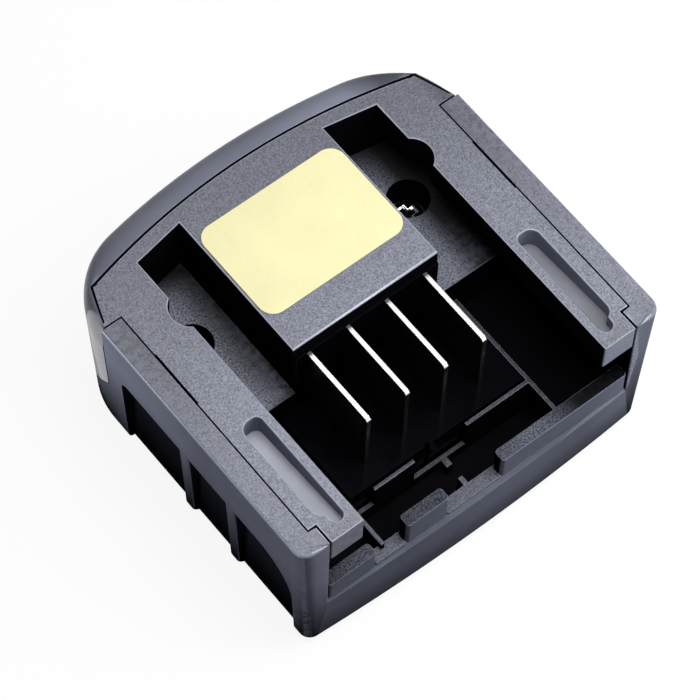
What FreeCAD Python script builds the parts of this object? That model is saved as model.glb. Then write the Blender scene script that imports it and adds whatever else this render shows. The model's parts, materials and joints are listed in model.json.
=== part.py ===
import FreeCAD, Part
import math
import os

# Charging dock for a slide-on tool battery pack, in millimetres.
# +Z is up and Z = 0 is the table under the rubber feet.  X runs across the dock and Y from the
# open front, where the pack slides in, to the curved rear.  Inside this file Y is counted from the
# front faces of the two arms; the last step moves everything so that the dock is centred on Y = 0.
# A depth is a distance down from the deck, the flat top face of the dock.

Vector = FreeCAD.Vector

# Outer body
half_width = 39.2           # middle plane to an outer side face, at deck level
rear_reach = 74.7           # arm faces to the rear face on the middle plane, at deck level
housing_height = 35.0       # deck to the underside of the base plate
lean = 1.9                  # how far the walls lean in between deck and base
front_corner = 2.7          # radius of the two front corners seen from above, at deck level
front_corner_base = 2.4     # the same at the base
rear_corner = 17.5          # radius of the two rear corners seen from above
rear_bow = 135.0            # radius of the bowed rear face seen from above
front_corner_inner = 0.6    # the same on the inside of the wall
belly_top = 0.2             # how far the front wall bows out, at deck level
belly_base = 1.2            # the same at the base
wall = 2.4                  # wall of both housings
base_plate = 2.2            # thickness of the bottom
board_top_depth = housing_height - 10       # upper face of the circuit board
base_round = 1.5            # rounded lower edge
deck_plate = 2.4            # thickness of the deck
seam = 0.3                  # open line between the two housings
shut = 0.3                  # free space round a part that drops into a frame

# Crown, the smooth rounded band round the rear of the deck
crown_drop = 7.0            # height of the crown
crown_inner_reach = rear_reach - 6.8        # arm faces to the crown line on the middle plane
crown_steps = 9             # sections between the top of the crown and its foot
crown_line_bow = 129.4      # radius of the crown line
crown_corner_x = half_width - 3.7           # corner of the crown line
crown_side_x = half_width - 0.8             # where the crown line meets the rear end of the side walls
crown_side_bow = 0.05       # outward bow of the short line between these two
crown_line_marks = (5.0, 6.6, 8.8, 11.2)        # points on the crown line behind its corner, from the side
crown_foot_angles = (13.5, 27, 38, 49)          # the same on the rear corner of the body, in degrees
crown_line = 0.35           # width and depth of the fine line that marks the crown

# Split between upper and lower housing
deck_half = half_width - 4.2        # half width of the deck between the side walls
deck_tongue = 4.0           # how far the deck runs on under the crowned rear part
column_half = half_width - 5.9      # the same between the two front columns
column_depth = 3.9          # front to back length of the columns
rear_split = rear_reach - 19.7      # where the side walls of the lower housing end at the rear
split_drop = housing_height - 15    # the rear edge of the side walls stands upright down to this depth
split_foot = rear_reach - 8.7       # and then runs down to the base plate at this distance from the front
front_split = housing_height - 13   # depth of the line between the front walls
front_chamfer = 0.8         # bevel along the top of the lower front wall
seam_slot = 0.2             # extra width of the seam where the pry slot is
seam_slot_start = 34.0
seam_slot_end = 45.8
lining_half = half_width - 4.7      # the side walls are this far from the middle on the inside

# Pack bay, rails and wells
rail_gap_half = half_width - 13     # middle plane to the inner edge of an arm
lip = 6.2                   # height of the arm that the pack hooks under
channel_half = half_width - 6.2     # middle plane to the far wall of the rail channel
channel_wall = 1.2
channel_depth = housing_height - 11  # floor of the rail channel
floor_plate = 2.0           # thickness of the channel, trough and shelf floors
shelf_depth = housing_height - 21.4         # the two shelves beside the platform
shelf_front = 31.2
platform_half = 15.8        # half width of the platform that carries the label
platform_front = 32.2
well_wall = 1.6
well_rear_inner = rear_reach - 10.8     # rear end of the well at the platform
well_rear_outer = rear_reach - 12.7     # rear end of the well at the arm
frame_wall = 0.8            # thin walls that frame the terminal block and the latch trough
frame_half = 19.6           # middle plane to the inner face of these walls
frame_depth = board_top_depth - 5.4         # depth of their tops
trough_back = 10.4          # front face of the wall behind the latch trough
trough_depth = housing_height - 6       # floor of the latch trough
latch_notch_half = 5.75     # low middle part of that wall
latch_notch_depth = trough_depth - 2.7
end_notch_x = -14.7         # its lower left-hand end
end_notch_depth = trough_depth - 4
stem_x = 0.9                # short rib in front of the low middle part
stem_width = 1.2
stem_front = 8.7
front_wall = 2.6            # toothed wall across the front of the bay
tooth_edges = (3.5 - rail_gap_half, -16.0, -6.9, 5.0)       # where its top edge steps, left to right
tooth_heights = (5.0, 0.7, 6.6, 0.5, 5.7)       # height between these steps, above the front split
tooth_round = 0.7
latch_rib_x = (-1.3, -0.3)  # small rib behind the second low tooth
latch_rib_length = 1.7

# Slots in the arms
slot_x = half_width - 9.2
slot_width = 4.0
slot_front = 2.4
slot_rear = 26.3
slot_shallow = 2.4          # depth at the front end
slot_deep = 5.0             # depth at the rear end
slot_lobe_width = 2.6       # the front end of the slot is narrower
slot_lobe_length = 2.2

# Finger grips in the outer side walls
grip_floor_half = half_width - 3.1
grip_front = 3.8
grip_rear = rear_reach - 23.8
grip_top = 12.6             # depth of the top of the grip
grip_front_round = 9.0
grip_rear_round = 2.0
grip_rib = 2.8
grip_rib_round = 0.8
grip_ribs = (20.6, 33.4)

# Screws
well_screw_x = half_width - 15.1
well_screw_y = rear_reach - 25
well_bore = 4.0             # radius of the screwdriver access through arm and shelf
well_seat_depth = housing_height - 14       # what the screw head rests on
well_post_depth = housing_height - 11       # where upper boss and lower post meet
base_screw_x = half_width - 12.2
base_screw_y = 22.0
screw_shank = 1.5
screw_head = 3.1
screw_head_height = 1.9
screw_clearance = 0.2
screw_tip_room = 0.4        # free space past the tip of a screw
boss_wall = 1.4             # wall round the screwdriver access
post_wall = 2.1             # wall round a screw shank
base_post = 1.9             # height of the posts round the base screws
base_screw_recess = 2.3     # height of the pockets for their heads
base_screw_tip = housing_height - 9.6       # depth that the base screws reach up to
well_screw_tip = housing_height - 3.2       # depth that the well screws reach down to
post_root = 0.5             # how far a post runs into the base plate

# Terminal block and blades
block_front = 11.5
block_floor_depth = board_top_depth - 6
block_plate = 2.0
block_skirt = 1.6
block_wall_face = 31.4      # glossy wall under the front edge of the platform
block_wall = 2.0
block_wall_gap = 0.2        # free space between this wall and the platform
block_mark = (-2.8, -1.8)   # small moulding notch in the front edge of the floor
blade_pitch = 8.45
blade_thickness = 0.9
blade_front = 15.4
blade_top_depth = 3.4
blade_chamfer = 0.6
tail_front = 20.0
tail_length = 3.0
tail_reach = 2.0            # length of the tails below the circuit board
solder_foot = 2.3           # radius of the solder on the board and at its tip
solder_tip = 1.1
solder_height = 1.3

# Circuit board
board_half = 17.8
board_front = 12.6
board_rear = rear_reach - 6.7
board_thickness = 1.6
board_post_x = 14.6
board_post_front = 16.2
board_post_rear = board_rear - 3.4
board_post_radius = 2.6
board_screw_shank = 1.0
board_screw_head = 1.9
board_screw_head_height = 1.2
board_screw_tip = housing_height - 3
wire_reach = 1.5            # length of component wires below the board
wire_radius = 0.3

# Power inlet
inlet_width = 9.0
inlet_height = 11.0
inlet_shoulder = rear_reach - 4.1
inlet_front = inlet_shoulder - 13
inlet_axis_height = 6.5     # above the circuit board
inlet_nose = 3.9
inlet_bore = 3.15
inlet_bore_length = 10.0
inlet_pin = 1.0
inlet_nose_length = 2.6
inlet_tail = (1.6, 0.6)     # section of both soldering tails
inlet_spring = (2.4, 6.0, 0.6)
inlet_spring_back = 9.0     # behind the mouth

# Indicator
lamp_x = 9.6
lamp_depth = 13.0
lamp_radius = 1.5
lamp_length = 3.6
lamp_dome = 1.45
lamp_rim = (0.3, 0.8)       # how far its rim stands out, and its width
lamp_lead = 0.4
lamp_lead_x = 0.8
lamp_lead_length = 1.4      # from the rim back to the bend
window_collar = (0.5, 0.8)
lamp_face = rear_reach - wall - 2.2     # tip of the lamp, where the window starts

# Other parts on the circuit board: places are X, Y, sizes are across, along and up
controller_place = (2.0, 46.6)
controller_size = (3.9, 4.9, 1.5)
controller_pins = 4         # on each side
controller_pitch = 1.27
input_capacitor_place = (9.6, 51.6)
input_capacitor_radius = 4.0
input_capacitor_height = 12.0
output_capacitor_place = (9.0, 40.4)
output_capacitor_radius = 5.0
output_capacitor_height = 16.0
capacitor_wire_x = 2.5      # of its two wires to either side of its middle
inductor_place = (-7.8, 41.4)
inductor_radius = 6.2
inductor_height = 8.0
inductor_flange = 1.4
inductor_neck = 3.0
winding_radius = 5.2        # of the outermost layer of wire
winding_wire = 0.42         # radius of the wire
winding_turns = 6
sink_place = (-7.7, 53.2)
sink_size = (12.0, 1.2, 14.0)
sink_fin = (1.0, 5.0)
sink_fin_x = (-5.5, -1.8, 1.8, 5.5)
sink_pin = 0.6
transistor_body = (8.0, 3.0, 7.5)
transistor_tab = (8.0, 1.0, 12.0)
transistor_lift = 2.0
transistor_hole = 1.5
transistor_leg = (0.7, 0.5)
transistor_pitch = 2.54
diode_place = (0.9, 40.2)
diode_size = (2.8, 4.4, 2.2)
diode_foot = (1.6, 1.0, 0.9)
fuse_place = (-10.4, board_rear - 7.1)
fuse_radius = 3.2
fuse_height = 4.6
fuse_wire_y = 1.9
resistor_size = (1.25, 2.0, 0.5)
resistor_x = 16.4
resistor_first = 34.6
resistor_step = 2.4
resistor_count = 6
chip_capacitor_size = (2.0, 1.25, 0.9)
chip_capacitor_places = ((2.0, 36.0), (-16.0, 39.0), (15.8, 52.0), (-16.0, 44.0))

# Label and feet
label_half = 15.3
label_front = platform_front + 7
label_rear = crown_inner_reach - 7.5
label_corner = 3.0
label_thickness = 0.15
foot_radius = 5.0
foot_shut = 0.1
foot_round = 0.4
foot_recess = 0.5
foot_x = half_width - 10.2
foot_front = 10.0
foot_rear = rear_reach - 19.7

foot_lift = 1.0
deck = foot_lift + housing_height
board_top = deck - board_top_depth
board_bottom = board_top - board_thickness
base_inner_depth = housing_height - base_plate
board_under = board_top_depth + board_thickness
far = 100.0                 # past the dock in every direction
bite = 1.0                  # how far a piece runs into its neighbour before they are joined
blade_centres = [blade_pitch * step for step in (-1.5, -0.5, 0.5, 1.5)]
blade_names = ["battery_positive", "pack_sense", "temperature_sense", "battery_negative"]


def block(x, y, depth):
    """Box between two X values, two Y values and two depths below the deck."""
    size = (x[1] - x[0], y[1] - y[0], depth[1] - depth[0])
    return Part.makeBox(*size, Vector(x[0], y[0], deck - depth[1]))


def drum(radius, centre, depth):
    """Upright cylinder between two depths."""
    low = Vector(centre[0], centre[1], deck - depth[1])
    return Part.makeCylinder(radius, depth[1] - depth[0], low)


def prism(corners, depth):
    """Upright prism on a polygon given as X, Y corners."""
    points = [Vector(x, y, deck - depth[1]) for x, y in corners]
    face = Part.Face(Part.makePolygon(points + points[:1]))
    return face.extrude(Vector(0, 0, depth[1] - depth[0]))


def side_prism(corners, x):
    """Prism across the dock on a polygon given as Y, depth corners."""
    points = [Vector(x[0], y, deck - depth) for y, depth in corners]
    face = Part.Face(Part.makePolygon(points + points[:1]))
    return face.extrude(Vector(x[1] - x[0], 0, 0))


def mirrored(shape):
    return shape.mirror(Vector(0, 0, 0), Vector(1, 0, 0))


def both(shape):
    return [shape, mirrored(shape)]


def joined(shapes):
    return shapes[0].multiFuse(shapes[1:]).removeSplitter()


def group(shapes):
    return Part.makeCompound(shapes)


def arc(start, middle, end):
    return Part.Arc(start, middle, end).toShape()


def rounded_plate(x, y, radius, depth):
    """Flat plate with four rounded upright edges."""
    plate = block(x, y, depth)
    upright = [edge for edge in plate.Edges if abs(edge.tangentAt(0).z) > 0.9]
    return plate.makeFillet(radius, upright)


def rear_corner_centre():
    """Centre of the right-hand rear corner arc of the body outline."""
    bow_centre = rear_reach - rear_bow
    across = half_width - rear_corner
    along = math.sqrt((rear_bow - rear_corner) ** 2 - across ** 2)
    return across, bow_centre + along


def rear_corner_point(inset, angle):
    centre = rear_corner_centre()
    radius = rear_corner - inset
    turn = math.radians(angle)
    return centre[0] + radius * math.cos(turn), centre[1] + radius * math.sin(turn)


def rear_tangent_angle():
    """Direction, seen from the corner centre, in which corner arc and rear bow meet."""
    across, along = rear_corner_centre()
    return math.degrees(math.atan2(along - (rear_reach - rear_bow), across))


def body_outline(inset, front, belly, corner, depth):
    """Outline of the whole body at one depth.

    Sides and rear are drawn inset from the outline at deck level.  The front edge starts at the Y
    value front, bows out by belly and ends in two corners of the given radius.
    """
    z = deck - depth
    side = half_width - inset
    slant = corner * (1 - math.sqrt(0.5))
    tangent = rear_tangent_angle()
    start_y = rear_corner_centre()[1]
    middle = rear_corner_point(inset, tangent / 2)
    end = rear_corner_point(inset, tangent)

    def at(x, y):
        return Vector(x, y, z)

    if belly > 0:
        front_edge = arc(at(-side + corner, front), at(0, front - belly), at(side - corner, front))
    else:
        front_edge = Part.makeLine(at(-side + corner, front), at(side - corner, front))
    edges = [
        front_edge,
        arc(at(side - corner, front), at(side - slant, front + slant), at(side, front + corner)),
        Part.makeLine(at(side, front + corner), at(side, start_y)),
        arc(at(side, start_y), at(*middle), at(*end)),
        arc(at(*end), at(0, rear_reach - inset), at(-end[0], end[1])),
        arc(at(-end[0], end[1]), at(-middle[0], middle[1]), at(-side, start_y)),
        Part.makeLine(at(-side, start_y), at(-side, front + corner)),
        arc(at(-side, front + corner), at(-side + slant, front + slant), at(-side + corner, front)),
    ]
    return Part.Wire(edges)


def lean_at(depth):
    return lean * depth / housing_height


def lower_edge():
    """Steps down the rounded lower edge: inset, its part that belongs to the rounding, and depth."""
    above = housing_height - base_round
    steps = []
    for angle in (0, 30, 60, 90):
        turn = math.radians(angle)
        inward = base_round * (1 - math.cos(turn))
        steps.append((lean_at(above) + inward, inward, above + base_round * math.sin(turn)))
    return steps


def body_solid():
    """The outer body with all walls leaning in towards a rounded lower edge."""
    wires = [body_outline(0, 0, belly_top, front_corner, 0)]
    wires += [body_outline(inset, inward, belly_base, front_corner_base - inward, depth)
              for inset, inward, depth in lower_edge()]
    return Part.makeLoft(wires, True, True)


def crown_marks(inset, spread, shrink):
    """Marks on the right half of the crown, front to middle: spread 0 is on its line, 1 on its foot.

    The line is drawn in by shrink, and the foot lies inset from the body's outline at deck level.
    """
    tangent = rear_tangent_angle()
    foot = [(half_width - inset, rear_split)]
    angles = crown_foot_angles + ((crown_foot_angles[-1] + tangent) / 2, tangent)
    foot += [rear_corner_point(inset, angle) for angle in angles]
    foot += [(0, rear_reach - inset)]

    def on_line(x):
        return x * (1 - shrink / crown_corner_x), crown_inner_reach - shrink - x * x / (2 * crown_line_bow)

    corner = on_line(crown_corner_x)
    start = (crown_side_x - shrink, rear_split)
    halfway = ((start[0] + corner[0]) / 2 + crown_side_bow, (start[1] + corner[1]) / 2)
    line = [start, halfway, corner] + [on_line(half_width - mark) for mark in crown_line_marks]
    line.append(on_line(0))
    return [(a[0] + (b[0] - a[0]) * spread, a[1] + (b[1] - a[1]) * spread) for a, b in zip(line, foot)]


def crown_section(inset, spread, depth, shrink=0.0):
    """Outline of the crowned rear part between its line and its foot."""
    z = deck - depth
    right = [Vector(x, y, z) for x, y in crown_marks(inset, spread, shrink)]
    left = [Vector(-point.x, point.y, z) for point in right]
    edges = [
        arc(right[0], right[1], right[2]),
        arc(right[2], right[3], right[4]),
        arc(right[4], right[5], right[6]),
        arc(right[6], right[7], left[6]),
        arc(left[6], left[5], left[4]),
        arc(left[4], left[3], left[2]),
        arc(left[2], left[1], left[0]),
        Part.makeLine(left[0], right[0]),
    ]
    return Part.Wire(edges)


def crown_solid(inset, top):
    """The rounded top of the rear part, from a flat top face down to the foot of the crown."""
    sections = []
    for step in range(crown_steps + 1):
        turn = math.radians(90 * step / crown_steps)
        depth = top + (crown_drop - top) * (1 - math.cos(turn))
        sections.append(crown_section(inset + lean_at(crown_drop), math.sin(turn), depth, inset))
    return Part.makeLoft(sections, True, True)


def rear_skirt(inset):
    """The rear wall below the crown, from the split line backwards."""
    low = base_inner_depth
    upper = crown_section(inset + lean_at(crown_drop), 1, crown_drop)
    lower = crown_section(inset + lean_at(low), 1, low)
    return Part.makeLoft([upper, lower], True, True)


def split_region(gap):
    """Everything in front of the rear edge of the lower side walls, grown by a gap."""
    rear = rear_split + gap
    foot = split_foot + gap
    corners = [(-far, -far), (rear, -far), (rear, split_drop), (foot, base_inner_depth), (foot, far)]
    return side_prism(corners + [(-far, far)], (-far, far))


def rear_cap():
    """Rear part of the upper housing with the crown, hollow inside."""
    shell = joined([crown_solid(0, 0), rear_skirt(0)])
    hollow = joined([crown_solid(wall, deck_plate), rear_skirt(wall)])
    front = split_region(seam)
    inner_front = front.common(block((-deck_half, deck_half), (-far, far), (deck_plate, far)))
    side_front = front.common(block((deck_half - seam, far), (-far, far), (-bite, far)))
    front_face = block((-far, far), (rear_split, rear_split + seam), (deck_plate, far))
    return shell.cut(hollow).cut(inner_front).cut(group(both(side_front))).cut(front_face)


def deck_with_openings():
    """Deck plate with the pack bay and the two wells left open."""
    edge = deck_half - seam
    front_edge = column_half - seam
    main = block((-edge, edge), (column_depth + seam, rear_split + deck_tongue), (0, deck_plate))
    front = block((-front_edge, front_edge), (0, column_depth + seam), (0, deck_plate))
    bay = block((-rail_gap_half, rail_gap_half), (-far, platform_front), (-far, far))
    return joined([main, front]).cut(bay)


def well_opening(depth):
    """One well beside the platform, from its slanted rear end to the front of the platform."""
    return prism([(platform_half, 0), (rail_gap_half, 0), (rail_gap_half, well_rear_outer),
                  (platform_half, well_rear_inner)], depth)


def well_surround():
    """Walls and shelf round the well on the right-hand side."""
    slope = (well_rear_inner - well_rear_outer) / (rail_gap_half - platform_half)
    outer = channel_half + channel_wall
    rear_at_wall = well_rear_inner - slope * (outer - platform_half)
    inner = platform_half - well_wall
    rear_at_inner = well_rear_inner + slope * well_wall
    bottom = shelf_depth + floor_plate
    body = prism([(inner, shelf_front), (outer, shelf_front), (outer, rear_at_wall + well_wall),
                  (inner, rear_at_inner + well_wall)], (0, bottom))
    rear_at_channel = well_rear_inner - slope * (channel_half - platform_half)
    space = prism([(platform_half, 0), (channel_half, 0), (channel_half, rear_at_channel),
                   (platform_half, well_rear_inner)], (-bite, shelf_depth))
    lip_fill = prism([(rail_gap_half, 0), (outer, 0), (outer, rear_at_wall + well_wall),
                      (rail_gap_half, well_rear_outer + well_wall)], (0, lip))
    lip_fill = lip_fill.cut(block((-far, far), (-far, shelf_front), (-bite, far)))
    front_open = block((-far, platform_half), (shelf_front - bite, platform_front), (-bite, far))
    return body.cut(space).cut(front_open).fuse(lip_fill)


def arm():
    """Right arm in front of the shelf: lip, rail channel and its walls."""
    outer = channel_half + channel_wall
    bottom = channel_depth + floor_plate
    top = block((rail_gap_half, outer), (0, shelf_front + bite), (0, lip))
    side = block((channel_half, outer), (base_clear(), shelf_front + well_wall), (0, bottom))
    floor = block((frame_half, outer), (base_clear(), shelf_front + well_wall), (channel_depth, bottom))
    step = block((frame_half, outer), (shelf_front, shelf_front + well_wall), (shelf_depth, bottom))
    inner_step = block((platform_half, frame_half), (shelf_front, shelf_front + well_wall),
                       (shelf_depth, board_top_depth - shut))
    return [top, side, floor, step, inner_step]


def frame_walls():
    """Thin walls round the terminal block and the latch trough in front of it."""
    outer = frame_half + frame_wall
    bottom = trough_depth + floor_plate
    front = front_wall - bite
    rear = trough_back + frame_wall
    beside_back = (trough_back - bite, rear + bite)
    channel_bottom = channel_depth + floor_plate
    side = block((frame_half, outer), (front, shelf_front + bite), (frame_depth, channel_bottom))
    trough_side = block((frame_half, outer), (front, rear), (frame_depth, bottom))
    back = block((-outer, outer), (trough_back, rear), (frame_depth, bottom))
    for x, depth in (((-latch_notch_half, latch_notch_half), latch_notch_depth),
                     ((-frame_half, end_notch_x), end_notch_depth)):
        back = back.cut(block(x, beside_back, (frame_depth - bite, depth)))
    stem_side = stem_width / 2
    stem = block((stem_x - stem_side, stem_x + stem_side), (stem_front, rear), (latch_notch_depth, bottom))
    top = front_split - tooth_heights[3]
    latch_rib = block(latch_rib_x, (front, front_wall + latch_rib_length), (top, bottom))
    floor = block((-outer, outer), (front, rear), (trough_depth, bottom))
    return both(side) + both(trough_side) + [back, stem, latch_rib, floor]


def front_teeth():
    """Front wall of the bay with its stepped top edge."""
    edge = column_half - seam
    edges = (-edge,) + tooth_edges + (edge,)
    low = front_split - seam
    wall_pieces = [block((-edge, edge), (base_clear(), front_wall), (low, trough_depth + floor_plate))]
    for left, right, height in zip(edges, edges[1:], tooth_heights):
        top = front_split - height
        tooth = block((left, right), (0, front_wall), (top, low))
        if low - top > front_wall:
            upright = [line for line in tooth.Edges if abs(line.tangentAt(0).z) > 0.9]
            tooth = tooth.makeFillet(tooth_round, upright)
        wall_pieces.append(tooth)
    return wall_pieces


def base_clear():
    """Front of the inner part of the upper front wall, behind the lower housing's front wall."""
    return wall - belly_base + seam


def arm_slot():
    """Cutter for the slot in the right arm: a sloping floor between two round ends, narrow at the front."""
    radius = slot_width / 2
    inner = slot_x - radius
    lobe_radius = slot_lobe_width / 2
    wide = rounded_slot(inner, slot_width, slot_front + slot_lobe_length, radius)
    lobe = rounded_slot(inner, slot_lobe_width, slot_front, lobe_radius)
    above = side_prism([(slot_front - bite, -bite), (slot_rear + bite, -bite), (slot_rear + bite, slot_deep),
                        (slot_front - bite, slot_shallow)], (0, far))
    return wide.fuse(lobe).common(above)


def rounded_slot(left, width, front, radius):
    """Upright slot with two round ends, from a front end to the rear end of the arm slots."""
    nearly_half = radius * 0.999
    return rounded_plate((left, left + width), (front, slot_rear), nearly_half, (-bite, lip))


def upper_housing():
    """Deck, arms, platform, shelves, latch trough and the crowned rear part in one moulding."""
    well_screw = (well_screw_x, well_screw_y)
    base_screw = (base_screw_x, base_screw_y)
    base_boss_end = base_inner_depth - base_post - shut
    boss = drum(well_bore + boss_wall, well_screw, (shelf_depth + bite, well_post_depth - seam))
    base_boss = drum(screw_shank + post_wall, base_screw, (channel_depth + bite, base_boss_end))
    parts = [deck_with_openings(), rear_cap()]
    for part in arm() + [well_surround(), boss, base_boss]:
        parts += both(part)
    body = joined(parts + frame_walls() + front_teeth())
    seam_notch = (deck_half - seam - seam_slot, far)
    for cutter in (
        well_opening((-bite, shelf_depth)),
        drum(well_bore, well_screw, (-bite, well_seat_depth)),
        drum(screw_shank + screw_clearance, well_screw, (shelf_depth, far)),
        drum(screw_shank, base_screw, (base_screw_tip - screw_tip_room, far)),
        arm_slot(),
        block((column_half - seam, far), (-far, column_depth + seam), (-bite, far)),
        block(seam_notch, (seam_slot_start, seam_slot_end), (-bite, deck_plate + bite)),
    ):
        body = body.cut(group(both(cutter)))
    return body.cut(inlet_opening()).cut(lamp_opening()).cut(crown_groove())


def crown_groove():
    """Fine line cut along the inner edge of the crown."""
    outer = Part.Face(crown_section(lean_at(crown_drop), 0, 0))
    inner = Part.Face(crown_section(lean_at(crown_drop), 0, 0, crown_line))
    behind = block((-far, far), (rear_split + bite, far), (-bite, bite))
    return outer.cut(inner).common(behind).extrude(Vector(0, 0, -crown_line))


def inlet_axis():
    return board_top + inlet_axis_height


def inlet_opening():
    start = Vector(0, inlet_shoulder, inlet_axis())
    return Part.makeCylinder(inlet_nose + screw_clearance, far, start, Vector(0, 1, 0))


def lamp_opening():
    start = Vector(lamp_x, inlet_shoulder, deck - lamp_depth)
    return Part.makeCylinder(lamp_radius, far, start, Vector(0, 1, 0))


def grip_cutter():
    """Finger grip in the right side wall: an arched recess open at the bottom."""
    low = housing_height + bite
    x = grip_floor_half
    front_turn = grip_front_round * (1 - math.sqrt(0.5))
    rear_turn = grip_rear_round * (1 - math.sqrt(0.5))

    def at(y, depth):
        return Vector(x, y, deck - depth)

    front_side = at(grip_front, grip_top + grip_front_round)
    front_top = at(grip_front + grip_front_round, grip_top)
    rear_top = at(grip_rear - grip_rear_round, grip_top)
    rear_side = at(grip_rear, grip_top + grip_rear_round)
    edges = [
        Part.makeLine(at(grip_front, low), front_side),
        arc(front_side, at(grip_front + front_turn, grip_top + front_turn), front_top),
        Part.makeLine(front_top, rear_top),
        arc(rear_top, at(grip_rear - rear_turn, grip_top + rear_turn), rear_side),
        Part.makeLine(rear_side, at(grip_rear, low)),
        Part.makeLine(at(grip_rear, low), at(grip_front, low)),
    ]
    return Part.Face(Part.Wire(edges)).extrude(Vector(half_width, 0, 0))


def grip_rib_section(centre, inset, depth):
    """Section through a rib of the right-hand grip, with two rounded outer corners."""
    z = deck - depth
    left = grip_floor_half - wall / 2
    right = half_width - inset
    front = centre - grip_rib / 2
    rear = centre + grip_rib / 2
    slant = grip_rib_round * (1 - math.sqrt(0.5))

    def at(x, y):
        return Vector(x, y, z)

    front_side = at(right - grip_rib_round, front)
    front_face = at(right, front + grip_rib_round)
    rear_face = at(right, rear - grip_rib_round)
    rear_side = at(right - grip_rib_round, rear)
    edges = [
        Part.makeLine(at(left, front), front_side),
        arc(front_side, at(right - slant, front + slant), front_face),
        Part.makeLine(front_face, rear_face),
        arc(rear_face, at(right - slant, rear - slant), rear_side),
        Part.makeLine(rear_side, at(left, rear)),
        Part.makeLine(at(left, rear), at(left, front)),
    ]
    return Part.Wire(edges)


def grip_rib_solid(centre):
    """One rib of the right-hand grip, leaning in with the wall down to the rounded lower edge."""
    top = grip_top - bite / 2
    sections = [grip_rib_section(centre, lean_at(top), top)]
    sections += [grip_rib_section(centre, inset, depth) for inset, inward, depth in lower_edge()]
    return Part.makeLoft(sections, True, True)


def shell_of_the_tray():
    """Base plate with the front wall and the side walls, each cut back to its split line."""
    shell = body_solid()
    front = wall - belly_base
    inner_top = body_outline(wall, front, 0, front_corner_inner, -bite)
    inner_foot = body_outline(wall + lean, front, 0, front_corner_inner, base_inner_depth)
    inner = Part.makeLoft([inner_top, inner_foot], True, True)
    lining = block((-lining_half, lining_half), (-far, far), (deck_plate + seam, far))
    shell = shell.cut(inner.common(lining))
    lid = block((-deck_half, deck_half), (column_depth, far), (-far, deck_plate + bite))
    front = block((-column_half, column_half), (-far, column_depth + bite), (-far, front_split))
    behind = block((-far, far), (rear_split - bite, far), (-far, base_inner_depth)).cut(split_region(0))
    behind_inner = block((-lining_half, lining_half), (rear_split - bite, far), (-far, base_inner_depth))
    for cutter in (lid, front, behind, behind_inner):
        shell = shell.cut(cutter)
    top_edge = [edge for edge in shell.Edges if on_front_split(edge.BoundBox)]
    return shell.makeChamfer(front_chamfer, top_edge)


def on_front_split(box):
    """Tells the outer top edge of the lower front wall from all others by its box."""
    near_split = abs(box.ZMin - (deck - front_split)) < 0.1 and abs(box.ZMax - box.ZMin) < 0.1
    return near_split and box.XMax - box.XMin > column_half and box.YMin < 0


def lower_housing():
    """Tray with the base plate, the side walls with their grips, the front wall and the posts."""
    recess = grip_cutter()
    shell = shell_of_the_tray().cut(recess).cut(mirrored(recess))
    parts = [shell]
    for centre in grip_ribs:
        parts += both(grip_rib_solid(centre))
    root = base_inner_depth + post_root
    well_screw = (well_screw_x, well_screw_y)
    base_screw = (base_screw_x, base_screw_y)
    parts += both(drum(screw_shank + post_wall, well_screw, (well_post_depth, root)))
    parts += both(drum(screw_shank + post_wall, base_screw, (base_inner_depth - base_post, root)))
    parts += [drum(board_post_radius, place, (board_under, root)) for place in board_posts()]
    body = joined(parts)
    well_hole = (well_post_depth - bite, well_screw_tip + screw_tip_room)
    holes = both(drum(screw_shank, well_screw, well_hole))
    holes += both(drum(screw_shank + screw_clearance, base_screw, (channel_depth, far)))
    recess_depth = (housing_height - base_screw_recess, far)
    holes += both(drum(screw_head + screw_clearance, base_screw, recess_depth))
    board_hole = (board_under - bite, board_screw_tip + screw_tip_room)
    holes += [drum(board_screw_shank, place, board_hole) for place in board_posts()]
    holes += [drum(foot_radius, place, (housing_height - foot_recess, far)) for place in feet_places()]
    for hole in holes:
        body = body.cut(hole)
    return body


def board_posts():
    return [(x, y) for x in (-board_post_x, board_post_x) for y in (board_post_front, board_post_rear)]


def feet_places():
    return [(x, y) for x in (-foot_x, foot_x) for y in (foot_front, foot_rear)]


def blade(centre):
    """Upright contact blade with a narrow soldering tail."""
    sides = (centre - blade_thickness / 2, centre + blade_thickness / 2)
    back = block_wall_face + block_wall
    low = block_floor_depth + block_plate
    top = blade_top_depth
    corners = [(blade_front, top + blade_chamfer), (blade_front + blade_chamfer, top), (back, top),
               (back, low), (blade_front, low)]
    plate = side_prism(corners, sides)
    tail = block(sides, (tail_front, tail_front + tail_length), (low - bite, board_under + tail_reach))
    return plate.fuse(tail).removeSplitter()


def terminal_block():
    """Glossy insert: floor and rear wall that hold the four blades, on a hollow skirt."""
    half = frame_half - shut
    rear = shelf_front
    back = block_wall_face + block_wall
    skirt = block((-half, half), (block_front, rear), (block_floor_depth, board_top_depth))
    pocket_half = half - block_skirt
    pocket = block((-pocket_half, pocket_half), (block_front + block_skirt, rear - block_skirt),
                   (block_floor_depth + block_plate, far))
    face_half = platform_half - shut
    back_half = platform_half - well_wall - shut
    upright_depth = (deck_plate, board_top_depth)
    face = block((-face_half, face_half), (block_wall_face, platform_front - block_wall_gap), upright_depth)
    upright = block((-back_half, back_half), (block_wall_face, back), upright_depth)
    link = block((-face_half, face_half), (rear - bite / 2, back), (block_floor_depth, board_top_depth))
    body = joined([skirt, face, upright, link]).cut(pocket)
    mark = block(block_mark, (block_front - bite, block_front + bite / 2), (block_floor_depth - bite, far))
    return body.cut(group([mark] + [blade(centre) for centre in blade_centres]))


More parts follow.
